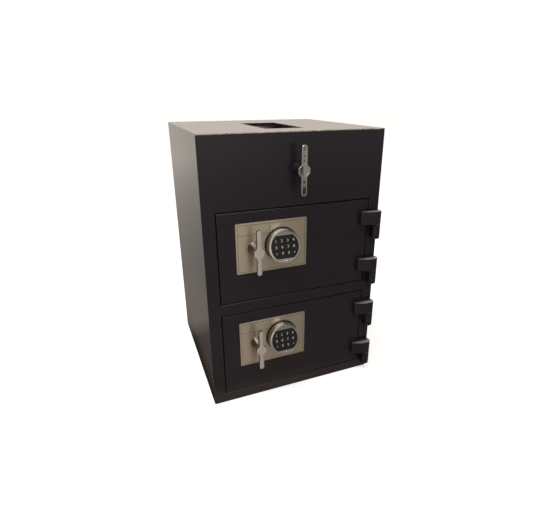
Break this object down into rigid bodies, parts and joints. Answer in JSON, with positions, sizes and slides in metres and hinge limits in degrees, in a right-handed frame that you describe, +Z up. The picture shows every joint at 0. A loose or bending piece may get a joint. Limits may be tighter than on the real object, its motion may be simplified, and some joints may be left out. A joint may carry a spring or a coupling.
{
  "type": "electronic lock safe",
  "caption": "Steel deposit safe with a rotary hopper in its top and two doors, each with bolts, a turning handle and an electronic keypad lock.",
  "frame": {"origin": "middle of the casing's underside, at the centre of the four anchor holes", "axes": "+X to the right as one faces the doors, +Y towards the back, +Z up"},
  "size_m": [0.508, 0.53, 0.762],
  "materials": {
    "black_paint": "semi-gloss black enamel",
    "inner_paint": "matt dark grey paint",
    "brushed_plate": "warm brushed steel",
    "satin_chrome": "satin chrome",
    "chrome": "polished",
    "cast_handle": "satin plated casting",
    "bright_steel": "turned steel",
    "die_cast": "die-cast, matt",
    "bronze": "sintered bronze",
    "keypad_rubber": "matt black",
    "key_rubber": "satin black with pale figures"
  },
  "bodies": {
    "root": {"casing": "black_paint", "front_plate": "black_paint", "shelf": "black_paint", "hopper_box": "inner_paint", "hopper_bushes": "bronze", "hinge_posts": "black_paint", "hinge_pins": "bright_steel"},
    "hopper": {"hopper_drum": "inner_paint", "hopper_shaft": "bright_steel", "hopper_handle": "chrome"},
    "lower_door": {"lower_door_plate": "black_paint", "lower_hinge_leaves": "black_paint", "lower_lock_plate": "brushed_plate", "lower_keypad_housing": "satin_chrome", "lower_keypad_pad": "keypad_rubber", "lower_lock_case": "die_cast", "lower_back_cover": "inner_paint", "lower_screws": "bright_steel"},
    "lower_handle": {"lower_handle": "cast_handle", "lower_spindle": "bright_steel"},
    "lower_boltwork": {"lower_bolt_bar": "bright_steel", "lower_bolts": "chrome"},
    "lower_lock_bolt": {"lower_lock_bolt": "bright_steel"},
    "lower_key_1": {"lower_key_1": "key_rubber"},
    "lower_key_2": {"lower_key_2": "key_rubber"},
    "lower_key_3": {"lower_key_3": "key_rubber"},
    "lower_key_4": {"lower_key_4": "key_rubber"},
    "lower_key_5": {"lower_key_5": "key_rubber"},
    "lower_key_6": {"lower_key_6": "key_rubber"},
    "lower_key_7": {"lower_key_7": "key_rubber"},
    "lower_key_8": {"lower_key_8": "key_rubber"},
    "lower_key_clear": {"lower_key_clear": "key_rubber"},
    "lower_key_9": {"lower_key_9": "key_rubber"},
    "lower_key_0": {"lower_key_0": "key_rubber"},
    "lower_key_enter": {"lower_key_enter": "key_rubber"},
    "upper_door": {"upper_door_plate": "black_paint", "upper_hinge_leaves": "black_paint", "upper_lock_plate": "brushed_plate", "upper_keypad_housing": "satin_chrome", "upper_keypad_pad": "keypad_rubber", "upper_lock_case": "die_cast", "upper_back_cover": "inner_paint", "upper_screws": "bright_steel"},
    "upper_handle": {"upper_handle": "cast_handle", "upper_spindle": "bright_steel"},
    "upper_boltwork": {"upper_bolt_bar": "bright_steel", "upper_bolts": "chrome"},
    "upper_lock_bolt": {"upper_lock_bolt": "bright_steel"},
    "upper_key_1": {"upper_key_1": "key_rubber"},
    "upper_key_2": {"upper_key_2": "key_rubber"},
    "upper_key_3": {"upper_key_3": "key_rubber"},
    "upper_key_4": {"upper_key_4": "key_rubber"},
    "upper_key_5": {"upper_key_5": "key_rubber"},
    "upper_key_6": {"upper_key_6": "key_rubber"},
    "upper_key_7": {"upper_key_7": "key_rubber"},
    "upper_key_8": {"upper_key_8": "key_rubber"},
    "upper_key_clear": {"upper_key_clear": "key_rubber"},
    "upper_key_9": {"upper_key_9": "key_rubber"},
    "upper_key_0": {"upper_key_0": "key_rubber"},
    "upper_key_enter": {"upper_key_enter": "key_rubber"}
  },
  "joints": [
    {"name": "hopper_turn", "type": "hinge", "parent": "root", "child": "hopper", "pos_m": [0, -0.2415, 0.6695], "axis": [0, 1, 0], "range_deg": [0, 180]},
    {"name": "lower_door_swing", "type": "hinge", "parent": "root", "child": "lower_door", "pos_m": [0.241, -0.2545, 0.1585], "axis": [0, 0, 1], "range_deg": [0, 170]},
    {"name": "lower_handle_turn", "type": "hinge", "parent": "lower_door", "child": "lower_handle", "pos_m": [-0.123, -0.2415, 0.1835], "axis": [0, 1, 0], "range_deg": [0, 90]},
    {"name": "lower_bolt_slide", "type": "slide", "parent": "lower_door", "child": "lower_boltwork", "axis": [-1, 0, 0], "range_m": [0, 0.02]},
    {"name": "lower_lock_bolt_slide", "type": "slide", "parent": "lower_door", "child": "lower_lock_bolt", "axis": [0, 0, 1], "range_m": [0, 0.0095]},
    {"name": "lower_key_1_press", "type": "slide", "parent": "lower_door", "child": "lower_key_1", "axis": [0, 0.9708, -0.24], "range_m": [0, 0.001], "stiffness_N_per_m": 400, "springref_m": -0.0005},
    {"name": "lower_key_2_press", "type": "slide", "parent": "lower_door", "child": "lower_key_2", "axis": [0, 0.9708, -0.24], "range_m": [0, 0.001], "stiffness_N_per_m": 400, "springref_m": -0.0005},
    {"name": "lower_key_3_press", "type": "slide", "parent": "lower_door", "child": "lower_key_3", "axis": [0, 0.9708, -0.24], "range_m": [0, 0.001], "stiffness_N_per_m": 400, "springref_m": -0.0005},
    {"name": "lower_key_4_press", "type": "slide", "parent": "lower_door", "child": "lower_key_4", "axis": [0, 0.9708, -0.24], "range_m": [0, 0.001], "stiffness_N_per_m": 400, "springref_m": -0.0005},
    {"name": "lower_key_5_press", "type": "slide", "parent": "lower_door", "child": "lower_key_5", "axis": [0, 0.9708, -0.24], "range_m": [0, 0.001], "stiffness_N_per_m": 400, "springref_m": -0.0005},
    {"name": "lower_key_6_press", "type": "slide", "parent": "lower_door", "child": "lower_key_6", "axis": [0, 0.9708, -0.24], "range_m": [0, 0.001], "stiffness_N_per_m": 400, "springref_m": -0.0005},
    {"name": "lower_key_7_press", "type": "slide", "parent": "lower_door", "child": "lower_key_7", "axis": [0, 0.9708, -0.24], "range_m": [0, 0.001], "stiffness_N_per_m": 400, "springref_m": -0.0005},
    {"name": "lower_key_8_press", "type": "slide", "parent": "lower_door", "child": "lower_key_8", "axis": [0, 0.9708, -0.24], "range_m": [0, 0.001], "stiffness_N_per_m": 400, "springref_m": -0.0005},
    {"name": "lower_key_clear_press", "type": "slide", "parent": "lower_door", "child": "lower_key_clear", "axis": [0, 0.9708, -0.24], "range_m": [0, 0.001], "stiffness_N_per_m": 400, "springref_m": -0.0005},
    {"name": "lower_key_9_press", "type": "slide", "parent": "lower_door", "child": "lower_key_9", "axis": [0, 0.9708, -0.24], "range_m": [0, 0.001], "stiffness_N_per_m": 400, "springref_m": -0.0005},
    {"name": "lower_key_0_press", "type": "slide", "parent": "lower_door", "child": "lower_key_0", "axis": [0, 0.9708, -0.24], "range_m": [0, 0.001], "stiffness_N_per_m": 400, "springref_m": -0.0005},
    {"name": "lower_key_enter_press", "type": "slide", "parent": "lower_door", "child": "lower_key_enter", "axis": [0, 0.9708, -0.24], "range_m": [0, 0.001], "stiffness_N_per_m": 400, "springref_m": -0.0005},
    {"name": "upper_door_swing", "type": "hinge", "parent": "root", "child": "upper_door", "pos_m": [0.241, -0.2545, 0.4465], "axis": [0, 0, 1], "range_deg": [0, 170]},
    {"name": "upper_handle_turn", "type": "hinge", "parent": "upper_door", "child": "upper_handle", "pos_m": [-0.123, -0.2415, 0.4715], "axis": [0, 1, 0], "range_deg": [0, 90]},
    {"name": "upper_bolt_slide", "type": "slide", "parent": "upper_door", "child": "upper_boltwork", "axis": [-1, 0, 0], "range_m": [0, 0.02]},
    {"name": "upper_lock_bolt_slide", "type": "slide", "parent": "upper_door", "child": "upper_lock_bolt", "axis": [0, 0, 1], "range_m": [0, 0.0095]},
    {"name": "upper_key_1_press", "type": "slide", "parent": "upper_door", "child": "upper_key_1", "axis": [0, 0.9708, -0.24], "range_m": [0, 0.001], "stiffness_N_per_m": 400, "springref_m": -0.0005},
    {"name": "upper_key_2_press", "type": "slide", "parent": "upper_door", "child": "upper_key_2", "axis": [0, 0.9708, -0.24], "range_m": [0, 0.001], "stiffness_N_per_m": 400, "springref_m": -0.0005},
    {"name": "upper_key_3_press", "type": "slide", "parent": "upper_door", "child": "upper_key_3", "axis": [0, 0.9708, -0.24], "range_m": [0, 0.001], "stiffness_N_per_m": 400, "springref_m": -0.0005},
    {"name": "upper_key_4_press", "type": "slide", "parent": "upper_door", "child": "upper_key_4", "axis": [0, 0.9708, -0.24], "range_m": [0, 0.001], "stiffness_N_per_m": 400, "springref_m": -0.0005},
    {"name": "upper_key_5_press", "type": "slide", "parent": "upper_door", "child": "upper_key_5", "axis": [0, 0.9708, -0.24], "range_m": [0, 0.001], "stiffness_N_per_m": 400, "springref_m": -0.0005},
    {"name": "upper_key_6_press", "type": "slide", "parent": "upper_door", "child": "upper_key_6", "axis": [0, 0.9708, -0.24], "range_m": [0, 0.001], "stiffness_N_per_m": 400, "springref_m": -0.0005},
    {"name": "upper_key_7_press", "type": "slide", "parent": "upper_door", "child": "upper_key_7", "axis": [0, 0.9708, -0.24], "range_m": [0, 0.001], "stiffness_N_per_m": 400, "springref_m": -0.0005},
    {"name": "upper_key_8_press", "type": "slide", "parent": "upper_door", "child": "upper_key_8", "axis": [0, 0.9708, -0.24], "range_m": [0, 0.001], "stiffness_N_per_m": 400, "springref_m": -0.0005},
    {"name": "upper_key_clear_press", "type": "slide", "parent": "upper_door", "child": "upper_key_clear", "axis": [0, 0.9708, -0.24], "range_m": [0, 0.001], "stiffness_N_per_m": 400, "springref_m": -0.0005},
    {"name": "upper_key_9_press", "type": "slide", "parent": "upper_door", "child": "upper_key_9", "axis": [0, 0.9708, -0.24], "range_m": [0, 0.001], "stiffness_N_per_m": 400, "springref_m": -0.0005},
    {"name": "upper_key_0_press", "type": "slide", "parent": "upper_door", "child": "upper_key_0", "axis": [0, 0.9708, -0.24], "range_m": [0, 0.001], "stiffness_N_per_m": 400, "springref_m": -0.0005},
    {"name": "upper_key_enter_press", "type": "slide", "parent": "upper_door", "child": "upper_key_enter", "axis": [0, 0.9708, -0.24], "range_m": [0, 0.001], "stiffness_N_per_m": 400, "springref_m": -0.0005}
  ],
  "couplings": [
    {"joint": "lower_bolt_slide", "follows": "lower_handle_turn", "m_per_rad": 0.012732},
    {"joint": "upper_bolt_slide", "follows": "upper_handle_turn", "m_per_rad": 0.012732}
  ]
}
